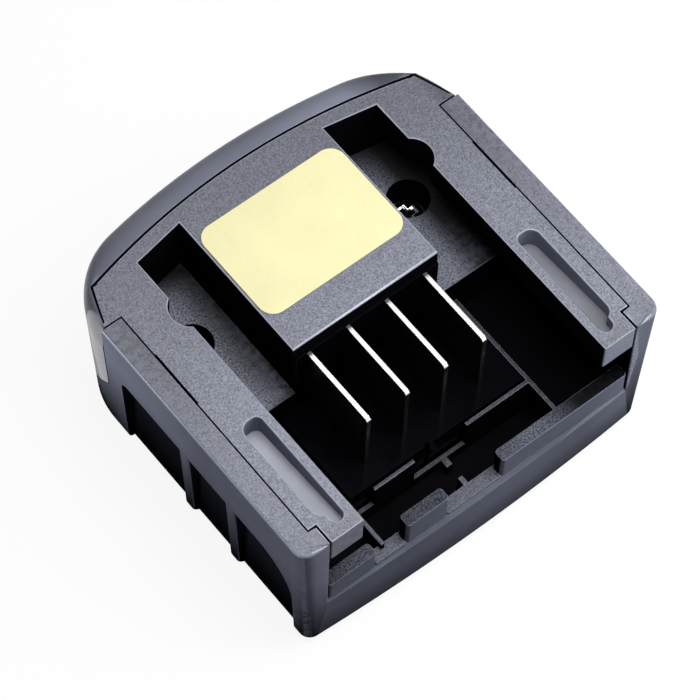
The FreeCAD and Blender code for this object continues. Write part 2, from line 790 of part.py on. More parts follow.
def bare_board():
    """Circuit board with the screw holes, the slots for the blade tails and room for the well posts."""
    board = block((-board_half, board_half), (board_front, board_rear), (board_top_depth, board_under))
    through = (board_top_depth - bite, board_under + bite)
    tail_slot = (tail_front - screw_clearance, tail_front + tail_length + screw_clearance)
    reach = blade_thickness / 2 + screw_clearance
    holes = [drum(board_screw_shank + screw_clearance, place, through) for place in board_posts()]
    holes += [block((centre - reach, centre + reach), tail_slot, through) for centre in blade_centres]
    holes += both(drum(screw_shank + post_wall + shut, (well_screw_x, well_screw_y), through))
    return board.cut(group(holes))


def circuit_board():
    """Board that carries the blades and all the electronics, drilled for every wire and leg."""
    board = bare_board()
    for shape in (inlet_pin_shape(), inlet_spring_shape(), input_fuse(), charge_transistor(), heat_sink(),
                  input_capacitor(), output_capacitor(), indicator_lamp()):
        board = board.cut(shape)
    return board


def solder_joints():
    """Solder round each blade tail under the board."""
    joints = []
    for centre in blade_centres:
        low = Vector(centre, tail_front + tail_length / 2, board_bottom - solder_height)
        cone = Part.makeCone(solder_tip, solder_foot, solder_height, low)
        joints.append(cone.cut(blade(centre)))
    return group(joints)


def screw(centre, seat, tip, shank, head, height):
    """Cross-head screw along Z from the depth that its head rests on to the depth of its tip."""
    sign = 1 if tip < seat else -1
    way = Vector(0, 0, sign)
    top = Vector(centre[0], centre[1], deck - seat - sign * height)
    body = Part.makeCylinder(head, height, top, way)
    body = body.fuse(Part.makeCylinder(shank, abs(tip - seat) + height, top, way)).removeSplitter()
    long, narrow, deep = head * 1.1, head * 0.3, height * 0.6
    drive_depth = sorted((seat + sign * height, seat + sign * (height - deep)))
    for across, along in ((long, narrow), (narrow, long)):
        x = (centre[0] - across / 2, centre[0] + across / 2)
        y = (centre[1] - along / 2, centre[1] + along / 2)
        body = body.cut(block(x, y, drive_depth))
    return body


def well_screws():
    """Two long screws that pull the housings together, reached through the arms."""
    return group([screw((x, well_screw_y), well_seat_depth, well_screw_tip, screw_shank, screw_head,
                        screw_head_height) for x in (-well_screw_x, well_screw_x)])


def base_screws():
    """Two short screws that come up through the base plate."""
    return group([screw((x, base_screw_y), housing_height - base_screw_recess, base_screw_tip, screw_shank,
                        screw_head, screw_head_height) for x in (-base_screw_x, base_screw_x)])


def board_screws():
    """Four small screws that hold the circuit board on its posts."""
    return group([screw(place, board_top_depth, board_screw_tip, board_screw_shank, board_screw_head,
                        board_screw_head_height) for place in board_posts()])


def rubber_feet():
    """Four round feet let into the base plate."""
    feet = []
    height = (housing_height - foot_recess, housing_height + foot_lift)
    for place in feet_places():
        foot = drum(foot_radius - foot_shut, place, height)
        rim = [edge for edge in foot.Edges if edge.Closed and edge.BoundBox.ZMax < foot_shut]
        feet.append(foot.makeFillet(foot_round, rim))
    return group(feet)


def platform_label():
    """Bare rounded label on the platform."""
    depth = (-label_thickness, 0)
    return rounded_plate((-label_half, label_half), (label_front, label_rear), label_corner, depth)


def along_y(radius, length, x, y, z):
    """Cylinder that points to the rear."""
    return Part.makeCylinder(radius, length, Vector(x, y, z), Vector(0, 1, 0))


def on_board(place, size, lift=0):
    """Box that stands on the circuit board, centred on a place."""
    return Part.makeBox(*size, Vector(place[0] - size[0] / 2, place[1] - size[1] / 2, board_top + lift))


def wire(place):
    """Component wire through the circuit board."""
    low = Vector(*place, board_bottom - wire_reach)
    return Part.makeCylinder(wire_radius, board_thickness + wire_reach, low)


def upper_rim(shape):
    """Closed edges of an upright can, without the one on the board."""
    return [edge for edge in shape.Edges if edge.Closed and edge.BoundBox.ZMin > board_top + bite]


def tail_through_board(y, top, section):
    """Flat soldering tail on the middle plane, from a height down through the circuit board."""
    low = board_bottom - wire_reach
    return Part.makeBox(section[0], section[1], top - low, Vector(-section[0] / 2, y, low))


def inlet_body():
    """Moulded shell of the power inlet with its round socket."""
    half = inlet_width / 2
    length = inlet_shoulder - inlet_front
    base = Part.makeBox(inlet_width, length, inlet_height, Vector(-half, inlet_front, board_top))
    nose = along_y(inlet_nose, inlet_nose_length, 0, inlet_shoulder, inlet_axis())
    body = base.fuse(nose)
    mouth = inlet_shoulder + inlet_nose_length
    body = body.cut(along_y(inlet_bore, inlet_bore_length, 0, mouth - inlet_bore_length, inlet_axis()))
    return body.cut(inlet_pin_shape()).cut(inlet_spring_shape())


def inlet_pin_shape():
    """Centre pin with a flat tail that goes down through the board."""
    start = inlet_shoulder + inlet_nose_length - inlet_bore_length - 2.5 * inlet_pin
    pin = along_y(inlet_pin, inlet_bore_length + 1.5 * inlet_pin, 0, start, inlet_axis())
    return pin.fuse(tail_through_board(start, inlet_axis(), inlet_tail)).removeSplitter()


def inlet_spring_shape():
    """Sprung strip along the bottom of the socket that touches the sleeve of the plug."""
    width, length, thickness = inlet_spring
    start = inlet_shoulder + inlet_nose_length - inlet_spring_back
    z = inlet_axis() - inlet_bore - thickness / 2
    strip = Part.makeBox(width, length, thickness, Vector(-width / 2, start, z))
    return strip.fuse(tail_through_board(start, z + thickness / 2, inlet_tail)).removeSplitter()


def controller_chip():
    """Moulded chip with gull-wing legs along two sides, standing on the board."""
    x, y = controller_place
    parts = [on_board(controller_place, controller_size, 0.15)]
    half = controller_size[0] / 2
    for side in (-1, 1):
        for index in range(controller_pins):
            leg_y = y + (index - (controller_pins - 1) / 2) * controller_pitch
            parts.append(on_board((x + side * (half + 0.5), leg_y), (1.1, 0.4, 0.2)))
            parts.append(on_board((x + side * (half + 0.1), leg_y), (0.3, 0.4, 0.9)))
    return joined(parts)


def radial_capacitor(place, radius, height):
    """Electrolytic can with a crimped waist, a scored top and two wire tails."""
    x, y = place
    can = Part.makeCylinder(radius, height, Vector(x, y, board_top))
    can = can.makeFillet(0.5, upper_rim(can))
    can = can.cut(Part.makeTorus(radius + 0.35, 0.7, Vector(x, y, board_top + 2.0)))
    score = 0.3
    for size in ((radius * 1.2, score, score), (score, radius * 1.2, score)):
        can = can.cut(on_board(place, size, height - score))
    wires = [wire((x + side * capacitor_wire_x, y)) for side in (-1, 1)]
    return joined([can] + wires)


def input_capacitor():
    return radial_capacitor(input_capacitor_place, input_capacitor_radius, input_capacitor_height)


def output_capacitor():
    return radial_capacitor(output_capacitor_place, output_capacitor_radius, output_capacitor_height)


def inductor_core():
    """Ferrite drum: two round flanges on a thin neck."""
    x, y = inductor_place
    flange = Part.makeCylinder(inductor_radius, inductor_flange, Vector(x, y, board_top))
    upper = Part.makeCylinder(inductor_radius, inductor_flange,
                              Vector(x, y, board_top + inductor_height - inductor_flange))
    neck = Part.makeCylinder(inductor_neck, inductor_height, Vector(x, y, board_top))
    return joined([flange, neck, upper])


def inductor_winding():
    """Copper coil in the neck of the ferrite drum: the outer layer stands proud of the layers below it."""
    x, y = inductor_place
    low = board_top + inductor_flange
    space = inductor_height - 2 * inductor_flange
    pitch = space / winding_turns
    coil = Part.makeCylinder(winding_radius, space, Vector(x, y, low))
    for turn in range(winding_turns):
        middle = Vector(x, y, low + (turn + 0.5) * pitch)
        coil = coil.fuse(Part.makeTorus(winding_radius, winding_wire, middle))
    return coil.cut(Part.makeCylinder(inductor_neck, space, Vector(x, y, low)))


def heat_sink():
    """Folded aluminium heat sink with four fins, pinned to the board."""
    x, y = sink_place
    width, thickness, height = sink_size
    fin_width, fin_length = sink_fin
    plate = on_board((x, y + thickness / 2), sink_size)
    fin_size = (fin_width, fin_length, height)
    fins = [on_board((x + offset, y - fin_length / 2), fin_size) for offset in sink_fin_x]
    pin = Part.makeCylinder(sink_pin, board_thickness + wire_reach,
                            Vector(x - width / 2 + 1, y + thickness / 2, board_bottom - wire_reach))
    return joined([plate, pin] + fins)


def charge_transistor():
    """Power transistor flat against the heat sink with three legs into the board."""
    x, y = sink_place
    face = y + sink_size[1]
    tab = on_board((x, face + transistor_tab[1] / 2), transistor_tab, transistor_lift)
    body = on_board((x, face + transistor_body[1] / 2), transistor_body, transistor_lift)
    width, depth = transistor_leg
    low = board_bottom - wire_reach
    legs = []
    for step in (-1, 0, 1):
        corner = Vector(x + step * transistor_pitch - width / 2, face + transistor_tab[1] + depth / 2, low)
        legs.append(Part.makeBox(width, depth, board_top + transistor_lift + bite / 2 - low, corner))
    hole = along_y(transistor_hole, transistor_body[1], x, face, board_top + transistor_tab[2])
    return joined([tab, body] + legs).cut(hole)


def blocking_diode():
    """Flat diode with two wrap-round feet."""
    x, y = diode_place
    ends = [on_board((x, y + side * (diode_size[1] / 2 + 0.2)), diode_foot) for side in (-1, 1)]
    return joined([on_board(diode_place, diode_size, 0.1)] + ends)


def input_fuse():
    """Small upright fuse with two wire tails."""
    x, y = fuse_place
    can = Part.makeCylinder(fuse_radius, fuse_height, Vector(x, y, board_top))
    can = can.makeFillet(0.4, upper_rim(can))
    return joined([can] + [wire((x, y + side * fuse_wire_y)) for side in (-1, 1)])


def chip_resistors():
    places = [(resistor_x, resistor_first + step * resistor_step) for step in range(resistor_count)]
    return group([on_board(place, resistor_size) for place in places])


def chip_capacitors():
    return group([on_board(place, chip_capacitor_size) for place in chip_capacitor_places])


def indicator_lamp():
    """Indicator lamp lying flat behind its window, with both leads bent down into the board."""
    z = deck - lamp_depth
    dome_base = lamp_face - lamp_dome
    front = dome_base - lamp_length
    bend = front - lamp_lead_length
    low = board_bottom - wire_reach
    half = lamp_lead / 2
    parts = [
        along_y(lamp_dome, lamp_length, lamp_x, front, z),
        Part.makeSphere(lamp_dome, Vector(lamp_x, dome_base, z)),
        along_y(lamp_dome + lamp_rim[0], lamp_rim[1], lamp_x, front, z),
    ]
    for side in (-1, 1):
        x = lamp_x + side * lamp_lead_x - half
        parts.append(Part.makeBox(lamp_lead, lamp_lead_length + half, lamp_lead, Vector(x, bend, z - half)))
        parts.append(Part.makeBox(lamp_lead, lamp_lead, z + half - low, Vector(x, bend, low)))
    return joined(parts)


def indicator_window():
    """Clear window that brings the lamp's light through the rear wall."""
    z = deck - lamp_depth
    rod = along_y(lamp_radius, far, lamp_x, lamp_face, z)
    top = body_outline(0, 0, 0, front_corner, 0)
    foot = body_outline(lean, 0, 0, front_corner, housing_height)
    body = Part.makeLoft([top, foot], True, True)
    collar = along_y(lamp_radius + window_collar[0], window_collar[1], lamp_x, lamp_face, z)
    return rod.common(body).fuse(collar).removeSplitter()


def parts_of_the_dock():
    parts = {
        "upper_housing": upper_housing(),
        "lower_housing": lower_housing(),
        "terminal_block": terminal_block(),
        "platform_label": platform_label(),
        "circuit_board": circuit_board(),
        "blade_solder_joints": solder_joints(),
        "well_screws": well_screws(),
        "base_screws": base_screws(),
        "board_screws": board_screws(),
        "rubber_feet": rubber_feet(),
        "inlet_body": inlet_body(),
        "inlet_centre_pin": inlet_pin_shape(),
        "inlet_sleeve_contact": inlet_spring_shape(),
        "controller_chip": controller_chip(),
        "blocking_diode": blocking_diode(),
        "inductor_core": inductor_core(),
        "inductor_winding": inductor_winding(),
        "input_capacitor": input_capacitor(),
        "output_capacitor": output_capacitor(),
        "heat_sink": heat_sink(),
        "charge_transistor": charge_transistor(),
        "input_fuse": input_fuse(),
        "chip_resistors": chip_resistors(),
        "chip_capacitors": chip_capacitors(),
        "indicator_lamp": indicator_lamp(),
        "indicator_window": indicator_window(),
    }
    for name, centre in zip(blade_names, blade_centres):
        parts["blade_" + name] = blade(centre)
    return parts


def main():
    os.makedirs("parts", exist_ok=True)
    parts = parts_of_the_dock()
    outer = Part.makeCompound([parts["upper_housing"], parts["lower_housing"]]).BoundBox
    shift = Vector(0, -(outer.YMin + outer.YMax) / 2, 0)
    for name, shape in parts.items():
        shape.translate(shift)
        shape.exportStep("parts/" + name + ".step")
        print(name, len(shape.Solids), "solid(s)", round(shape.Volume, 1), "mm3", shape.isValid())


main()
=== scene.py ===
import json
import math

import bpy
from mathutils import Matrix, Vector

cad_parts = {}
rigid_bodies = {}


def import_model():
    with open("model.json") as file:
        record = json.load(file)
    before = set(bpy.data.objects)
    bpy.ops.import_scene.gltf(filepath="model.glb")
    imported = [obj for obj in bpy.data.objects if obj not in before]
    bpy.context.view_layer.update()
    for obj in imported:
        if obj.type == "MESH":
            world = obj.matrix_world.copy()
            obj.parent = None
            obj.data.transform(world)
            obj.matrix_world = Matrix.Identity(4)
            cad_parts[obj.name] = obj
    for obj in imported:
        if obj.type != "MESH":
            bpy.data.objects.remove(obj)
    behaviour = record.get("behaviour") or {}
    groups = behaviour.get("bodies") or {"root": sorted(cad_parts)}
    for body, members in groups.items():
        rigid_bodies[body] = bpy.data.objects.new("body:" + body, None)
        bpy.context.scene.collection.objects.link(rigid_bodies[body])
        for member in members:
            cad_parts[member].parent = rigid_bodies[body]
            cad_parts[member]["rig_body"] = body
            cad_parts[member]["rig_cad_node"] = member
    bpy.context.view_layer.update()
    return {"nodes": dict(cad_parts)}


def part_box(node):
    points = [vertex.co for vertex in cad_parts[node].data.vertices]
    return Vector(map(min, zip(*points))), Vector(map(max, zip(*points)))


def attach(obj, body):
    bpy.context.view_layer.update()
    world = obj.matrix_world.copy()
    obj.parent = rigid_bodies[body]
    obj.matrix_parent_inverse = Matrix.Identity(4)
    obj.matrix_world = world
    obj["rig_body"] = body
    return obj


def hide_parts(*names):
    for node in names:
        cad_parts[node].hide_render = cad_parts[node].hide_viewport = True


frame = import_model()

nodes = frame["nodes"]
mm = 0.001
deckTop = 36 * mm       # flat top of deck and arms
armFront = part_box("upper_housing")[0].y     # front faces of the two arms


def fromFront(distance):
    return armFront + distance * mm     # so many mm back from the front faces of the arms


def within(value, limits):
    return limits[0] < value < limits[1]


# materials: small helpers

def newMaterial(name):
    material = bpy.data.materials.new(name)
    material.use_nodes = True
    tree = material.node_tree
    tree.nodes.clear()
    output = tree.nodes.new("ShaderNodeOutputMaterial")
    shader = tree.nodes.new("ShaderNodeBsdfPrincipled")
    tree.links.new(shader.outputs[0], output.inputs[0])
    return material, tree, shader


def objectPoint(tree, stretch=(1, 1, 1)):
    coordinates = tree.nodes.new("ShaderNodeTexCoord")
    mapping = tree.nodes.new("ShaderNodeMapping")
    mapping.inputs["Scale"].default_value = stretch
    tree.links.new(coordinates.outputs["Object"], mapping.inputs["Vector"])
    return mapping.outputs[0]


def placeAlong(tree, point, axis):
    place = tree.nodes.new("ShaderNodeSeparateXYZ")
    tree.links.new(point, place.inputs[0])
    return place.outputs[axis]


def noise(tree, point, size, detail=2.0, roughness=0.5):
    texture = tree.nodes.new("ShaderNodeTexNoise")      # size is a feature in metres
    texture.inputs["Scale"].default_value = 1 / size
    texture.inputs["Detail"].default_value = detail
    texture.inputs["Roughness"].default_value = roughness
    tree.links.new(point, texture.inputs["Vector"])
    return texture.outputs["Fac"]


def spread(tree, value, low, high, fromLow=0.3, fromHigh=0.7):
    span = tree.nodes.new("ShaderNodeMapRange")
    for socket, number in (("From Min", fromLow), ("From Max", fromHigh), ("To Min", low), ("To Max", high)):
        span.inputs[socket].default_value = number
    tree.links.new(value, span.inputs["Value"])
    return span.outputs[0]


def calculate(tree, operation, first, second=None):     # second is a socket, a number or nothing
    node = tree.nodes.new("ShaderNodeMath")
    node.operation = operation
    tree.links.new(first, node.inputs[0])
    if isinstance(second, float):
        node.inputs[1].default_value = second
    elif second is not None:
        tree.links.new(second, node.inputs[1])
    return node.outputs[0]


def blendColours(tree, factor, first, second):
    mix = tree.nodes.new("ShaderNodeMix")
    mix.data_type = "RGBA"
    tree.links.new(factor, mix.inputs["Factor"])
    for socket, colour in (("A", first), ("B", second)):
        target = [s for s in mix.inputs if s.name == socket and s.type == "RGBA"][0]
        if hasattr(colour, "is_output"):
            tree.links.new(colour, target)
        else:
            target.default_value = tuple(colour) + (1.0,)
    return [s for s in mix.outputs if s.type == "RGBA"][0]


def bump(tree, height, depth):
    node = tree.nodes.new("ShaderNodeBump")
    node.inputs["Distance"].default_value = depth
    tree.links.new(height, node.inputs["Height"])
    return node.outputs[0]


grainSpan = (0.32, 0.68)        # part of the noise over which the grain goes from dark to light
smudgeTone = 0.86       # colour of a smudge on metal, as a share of the clean colour
# where rubbing starts and is full (pointiness), the size of its patches, and how much lighter it is
rubbing = {"start": 0.52, "full": 0.60, "patch": 1.2 * mm, "gain": 1.5}


def rubbedEdges(tree, point, most):
    geometry = tree.nodes.new("ShaderNodeNewGeometry")
    edge = spread(tree, geometry.outputs["Pointiness"], 0.0, 1.0, rubbing["start"], rubbing["full"])
    patches = spread(tree, noise(tree, point, rubbing["patch"], 3.0), 0.0, most)
    return calculate(tree, "MULTIPLY", edge, patches)


def mouldedPlastic(name, look):     # grain, cloudy tone, painted light and shade along the axes, rubbed edges
    material, tree, shader = newMaterial(name)
    point = objectPoint(tree)
    grain = noise(tree, point, look["grainSize"], 3.0, 0.6)
    cloud = noise(tree, point, look["cloudSize"])
    dark = tuple(c * (1 - look["grainContrast"]) for c in look["colour"])
    light = tuple(c * (1 + look["grainContrast"]) for c in look["colour"])
    colour = blendColours(tree, spread(tree, grain, 0, 1, *grainSpan), dark, light)
    cloudAndPaintedShade = spread(tree, cloud, 1 - look["cloudContrast"], 1 + look["cloudContrast"])
    # painted light and shade: factors along an axis that stand in for shadows, falloff and lamp light
    for axis, low, high, lowPlace, highPlace in look.get("paintedShades", []):
        paintedSlope = spread(tree, placeAlong(tree, point, axis), low, high, lowPlace, highPlace)
        cloudAndPaintedShade = calculate(tree, "MULTIPLY", cloudAndPaintedShade, paintedSlope)
    shade = tree.nodes.new("ShaderNodeVectorMath")
    shade.operation = "SCALE"
    tree.links.new(colour, shade.inputs[0])
    tree.links.new(cloudAndPaintedShade, shade.inputs["Scale"])
    colour = shade.outputs[0]
    if look.get("wear"):
        rubbed = tuple(min(c * rubbing["gain"], 1) for c in look["colour"])
        colour = blendColours(tree, rubbedEdges(tree, point, look["wear"]), colour, rubbed)
    tree.links.new(colour, shader.inputs["Base Color"])
    tree.links.new(spread(tree, grain, *look["roughness"]), shader.inputs["Roughness"])
    tree.links.new(bump(tree, grain, look["grainDepth"]), shader.inputs["Normal"])
    shader.inputs["Specular IOR Level"].default_value = look["gloss"]
    if look.get("sheen"):       # gloss that changes with the distance from the middle plane
        distance = calculate(tree, "ABSOLUTE", placeAlong(tree, point, "X"))
        tree.links.new(spread(tree, distance, *look["sheen"]), shader.inputs["Specular IOR Level"])
    return material


def platedStrip(name, look):     # rolled and plated metal: fine lines and faint smudges
    material, tree, shader = newMaterial(name)
    lines = noise(tree, objectPoint(tree, look["lines"]), look["lineSize"], 4.0, 0.65)
    smudge = noise(tree, objectPoint(tree), look["smudgeSize"], 3.0, 0.55)
    smudged = tuple(c * smudgeTone for c in look["colour"])
    colour = blendColours(tree, spread(tree, smudge, 0, 1), look["colour"], smudged)
    tree.links.new(colour, shader.inputs["Base Color"])
    tree.links.new(spread(tree, lines, *look["roughness"]), shader.inputs["Roughness"])
    tree.links.new(bump(tree, lines, look["lineDepth"]), shader.inputs["Normal"])
    shader.inputs["Metallic"].default_value = 1.0
    return material


def dress(material, *names):        # material of CAD nodes that stay
    for name in names:
        slots = nodes[name].data.materials
        slots.clear()
        slots.append(material)


# housing finishes; a painted shade is an axis, its low and high factor, and the places where they hold; it
# stands in for light and shadow

# deck: painted light and shade, darker towards the right, at the front edge, towards the rear and at the
# right outer corner
deckLook = {"colour": (0.128, 0.135, 0.170), "grainSize": 0.26 * mm, "grainContrast": 0.70,
            "grainDepth": 0.060 * mm, "cloudSize": 14 * mm, "cloudContrast": 0.04,
            "roughness": (0.36, 0.50), "gloss": 0.50, "wear": 0.5,
            "paintedShades": [("X", 1.04, 0.90, -5 * mm, 30 * mm),
                       ("Y", 0.76, 1.06, fromFront(1.0), fromFront(5.5)),
                       ("Y", 1.05, 0.98, fromFront(22), fromFront(32)),
                       ("Y", 1.0, 0.66, fromFront(34), fromFront(64)),
                       ("X", 1.0, 0.60, 34.0 * mm, 36.4 * mm)]}
# outer strips: painted shade, darker towards the rear, at the front edge and on the right
stripLook = {**deckLook,
             "paintedShades": [("Y", 1.04, 0.44, fromFront(18), fromFront(50)),
                        ("Y", 0.80, 1.0, fromFront(1), fromFront(6)),
                        ("X", 1.0, 0.87, -20 * mm, 20 * mm)]}
# smooth walls: painted shade, darker towards the bottom
smoothLook = {"colour": (0.178, 0.187, 0.240), "grainSize": 0.25 * mm, "grainContrast": 0.05,
              "grainDepth": 0.006 * mm, "cloudSize": 11 * mm, "cloudContrast": 0.06,
              "roughness": (0.40, 0.48), "gloss": 0.0, "wear": 0.5,
              "paintedShades": [("Z", 0.12, 1.0, 3 * mm, 25 * mm)]}
# side walls: a lighter copy of the smooth plastic as painted light, with painted shade towards the bottom and
# painted light towards the rear
sideLook = {**smoothLook, "colour": (0.28, 0.293, 0.372),
            "paintedShades": [("Z", 0.05, 1.0, 4 * mm, 27 * mm),
                       ("Y", 1.0, 2.0, fromFront(26), fromFront(54))]}
# front wall: a darker copy of the smooth plastic, with painted shade towards the bottom and the left and
# painted light towards the right
frontLook = {**smoothLook, "colour": (0.118, 0.125, 0.162),
             "paintedShades": [("Z", 0.40, 1.0, 1 * mm, 9 * mm),
                        ("X", 0.85, 1.15, -28 * mm, 5 * mm),
                        ("X", 1.0, 1.3, 24 * mm, 33 * mm)]}
# crown: painted shade darker at the left and right ends, painted light right of the middle
crownLook = {**smoothLook, "colour": (0.152, 0.159, 0.203), "roughness": (0.20, 0.28),
             "sheen": (0.02, 1.0, 37.5 * mm, 37.8 * mm),
             "paintedShades": [("X", 0.82, 1.0, -30 * mm, -14 * mm),
                        ("X", 1.0, 1.2, 4 * mm, 18 * mm),
                        ("X", 1.0, 0.37, 23 * mm, 30 * mm)]}
# front ends of the arms: painted light, brighter towards the right
armLook = {**deckLook, "colour": (0.150, 0.157, 0.200), "gloss": 0.02,
           "paintedShades": [("X", 0.95, 1.75, -28 * mm, 28 * mm)]}
# grip recesses: a dark copy of the plastic as painted shade, darker still towards the bottom
gripRecessShadeLook = {"colour": (0.045, 0.047, 0.064), "grainSize": 0.3 * mm, "grainContrast": 0.08,
            "grainDepth": 0.010 * mm, "cloudSize": 8 * mm, "cloudContrast": 0.10,
            "roughness": (0.45, 0.55), "gloss": 0.0,
            "paintedShades": [("Z", 0.10, 1.0, 4 * mm, 24 * mm)]}
# ledges: painted shadow, dark along the platform on the left, under the arm on the right, and at the rear
# walls
leftLedgeLook = {"colour": (0.135, 0.143, 0.178), "grainSize": 0.34 * mm, "grainContrast": 0.95,
                 "grainDepth": 0.09 * mm, "cloudSize": 9 * mm, "cloudContrast": 0.02,
                 "roughness": (0.40, 0.60), "gloss": 0.16, "wear": 0.4,
                 "paintedShades": [("X", 1.0, 0.04, -22.6 * mm, -16.2 * mm),
                            ("Y", 1.0, 0.08, fromFront(58), fromFront(63))]}
rightLedgeLook = {**leftLedgeLook,
                  "paintedShades": [("X", 1.0, 0.04, 21 * mm, 25.8 * mm),
                             ("Y", 1.0, 0.15, fromFront(52), fromFront(63))]}
# steps: painted shadow under the right arm and at the far left, and darker tops further back
stepLook = {"colour": (0.060, 0.064, 0.080), "grainSize": 0.34 * mm, "grainContrast": 0.95,
            "grainDepth": 0.080 * mm, "cloudSize": 6 * mm, "cloudContrast": 0.15,
            "roughness": (0.38, 0.60), "gloss": 0.25, "wear": 0.5,
            "paintedShades": [("X", 1.0, 0.02, 16 * mm, 24.5 * mm),
                       ("X", 0.02, 1.0, -33 * mm, -30.5 * mm),
                       ("Y", 1.0, 0.55, fromFront(6.5), fromFront(8.5))]}
# teeth: a darker copy of the step plastic, with painted light at the left end and right of the middle and
# painted shadow under the right arm
toothLook = {**stepLook, "colour": (0.038, 0.041, 0.052), "gloss": 0.04,
             "paintedShades": [("X", 1.4, 1.0, -24 * mm, -18 * mm),
                        ("X", 1.0, 1.9, -6 * mm, 12 * mm),
                        ("X", 1.0, 0.01, 14 * mm, 22.5 * mm)]}
# rounded edges along the deck: a lighter colour, a painted highlight
edgeHighlightLook = {"colour": (0.24, 0.25, 0.30), "grainSize": 0.2 * mm, "grainContrast": 0.05,
            "grainDepth": 0.004 * mm, "cloudSize": 7 * mm, "cloudContrast": 0.10,
            "roughness": (0.28, 0.38), "gloss": 0.5}
# front edge of the platform: a brighter colour, a painted highlight line
platformRimHighlightLook = {**edgeHighlightLook, "colour": (0.385, 0.40, 0.46)}
# near black on walls, floors, grooves and seams that lie in shade: painted shadow
shadowBlackLook = {"colour": (0.003, 0.003, 0.004), "grainSize": 0.3 * mm, "grainContrast": 0.10,
             "grainDepth": 0.010 * mm, "cloudSize": 9 * mm, "cloudContrast": 0.10,
             "roughness": (0.45, 0.55), "gloss": 0.0}
# slot floors: painted light, darker on the right and brighter towards the rear
slotLook = {"colour": (0.282, 0.292, 0.332), "grainSize": 0.3 * mm, "grainContrast": 0.03,
            "grainDepth": 0.005 * mm, "cloudSize": 6 * mm, "cloudContrast": 0.08,
            "roughness": (0.35, 0.45), "gloss": 0.25,
            "paintedShades": [("X", 1.15, 0.57, -20 * mm, 20 * mm),
                       ("Y", 0.95, 1.30, fromFront(5), fromFront(23))]}

housingFinishes = {
    "deck": mouldedPlastic("housing_deck_grain", deckLook),
    "strip": mouldedPlastic("housing_outer_deck_grain", stripLook),
    "smooth": mouldedPlastic("housing_smooth", smoothLook),
    "side": mouldedPlastic("housing_side_wall", sideLook),
    "front": mouldedPlastic("housing_front_wall", frontLook),
    "crown": mouldedPlastic("housing_crown", crownLook),
    "arm": mouldedPlastic("housing_arm_ends", armLook),
    "grip": mouldedPlastic("housing_grip_recess_painted_shade", gripRecessShadeLook),
    "leftLedge": mouldedPlastic("housing_ledge_grain", leftLedgeLook),
    "rightLedge": mouldedPlastic("housing_right_ledge_grain", rightLedgeLook),
    "step": mouldedPlastic("housing_step_grain", stepLook),
    "tooth": mouldedPlastic("housing_tooth_grain", toothLook),
    "edge": mouldedPlastic("housing_edge_painted_highlight", edgeHighlightLook),
    "rim": mouldedPlastic("housing_platform_rim_painted_highlight", platformRimHighlightLook),
    "inner": mouldedPlastic("housing_painted_shadow_black", shadowBlackLook),
    "slot": mouldedPlastic("housing_slot_floor", slotLook),
}
print("housing finishes done")


# pieces: merged copies of CAD nodes, with rounded edges and a finish for each face

copying = {"weld": 2e-6, "flat": 0.3}       # points (m) and faces (degrees) nearer than this join
rounding = {"bend": 0.82, "smooth": 35}     # edges that bend less (cosine) stay; shading angle (degrees)


def cleanCopy(nodeName, pieceName):
    bpy.ops.object.select_all(action="DESELECT")
    piece = nodes[nodeName].copy()
    piece.data = nodes[nodeName].data.copy()
    piece.name = pieceName
    piece.data.name = pieceName
    piece.parent = None
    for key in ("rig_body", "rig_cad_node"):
        if key in piece:
            del piece[key]
    bpy.context.scene.collection.objects.link(piece)
    bpy.context.view_layer.objects.active = piece
    piece.select_set(True)
    if piece.data.has_custom_normals:
        bpy.ops.mesh.customdata_custom_splitnormals_clear()
    bpy.ops.object.mode_set(mode="EDIT")
    bpy.ops.mesh.select_all(action="SELECT")
    bpy.ops.mesh.remove_doubles(threshold=copying["weld"])
    bpy.ops.mesh.dissolve_limited(angle_limit=math.radians(copying["flat"]))
    bpy.ops.object.mode_set(mode="OBJECT")
    return piece


def outerCorner(mesh, key, first, second):      # whether two faces meet in an outer corner at this edge
    order = list(first.vertices)
    ahead = order[(order.index(key[0]) + 1) % len(order)] == key[1]
    start, end = key if ahead else (key[1], key[0])
    along = mesh.vertices[end].co - mesh.vertices[start].co
    return first.normal.cross(along).dot(second.normal) < 0


def roundEdges(piece, width, segments, share):      # share gives each outer edge its part of the width
    mesh = piece.data
    faces = {}
    for face in mesh.polygons:
        for key in face.edge_keys:
            faces.setdefault(key, []).append(face)
    weights = mesh.attributes.new("bevel_weight_edge", "FLOAT", "EDGE")
    for edge in mesh.edges:
        pair = faces.get(edge.key, [])
        if len(pair) != 2:
            continue
        first, second = pair
        nearlyFlat = first.normal.dot(second.normal) > rounding["bend"]
        if nearlyFlat or not outerCorner(mesh, edge.key, first, second):
            continue
        middle = (mesh.vertices[edge.vertices[0]].co + mesh.vertices[edge.vertices[1]].co) / 2
        weights.data[edge.index].value = share(middle, first.normal, second.normal)
    bevel = piece.modifiers.new("round", "BEVEL")
    bevel.width = width
    bevel.segments = segments
    bevel.limit_method = "WEIGHT"
    bevel.use_clamp_overlap = False
    bevel.miter_outer = "MITER_ARC"
    bevel.harden_normals = True     # flat faces stay flat beside the rounding
    bpy.context.view_layer.objects.active = piece
    bpy.ops.object.shade_smooth_by_angle(angle=math.radians(rounding["smooth"]))
    bpy.ops.object.modifier_apply(modifier="round")


# how far a face looks along an axis, from 0 to 1
facing = {"exact": 0.999, "level": 0.97, "square": 0.9, "mostly": 0.8, "front": 0.7, "side": 0.6, "half": 0.5,
          "upright": 0.35, "sheer": 0.1, "rimSlope": (0.15, 0.97), "edgeSlope": (0.25, 0.97)}


def everyEdge(middle, first, second):
    return 1.0


def topEdges(middle, first, second):
    return 1.0 if max(first.z, second.z) > facing["square"] else 0.0


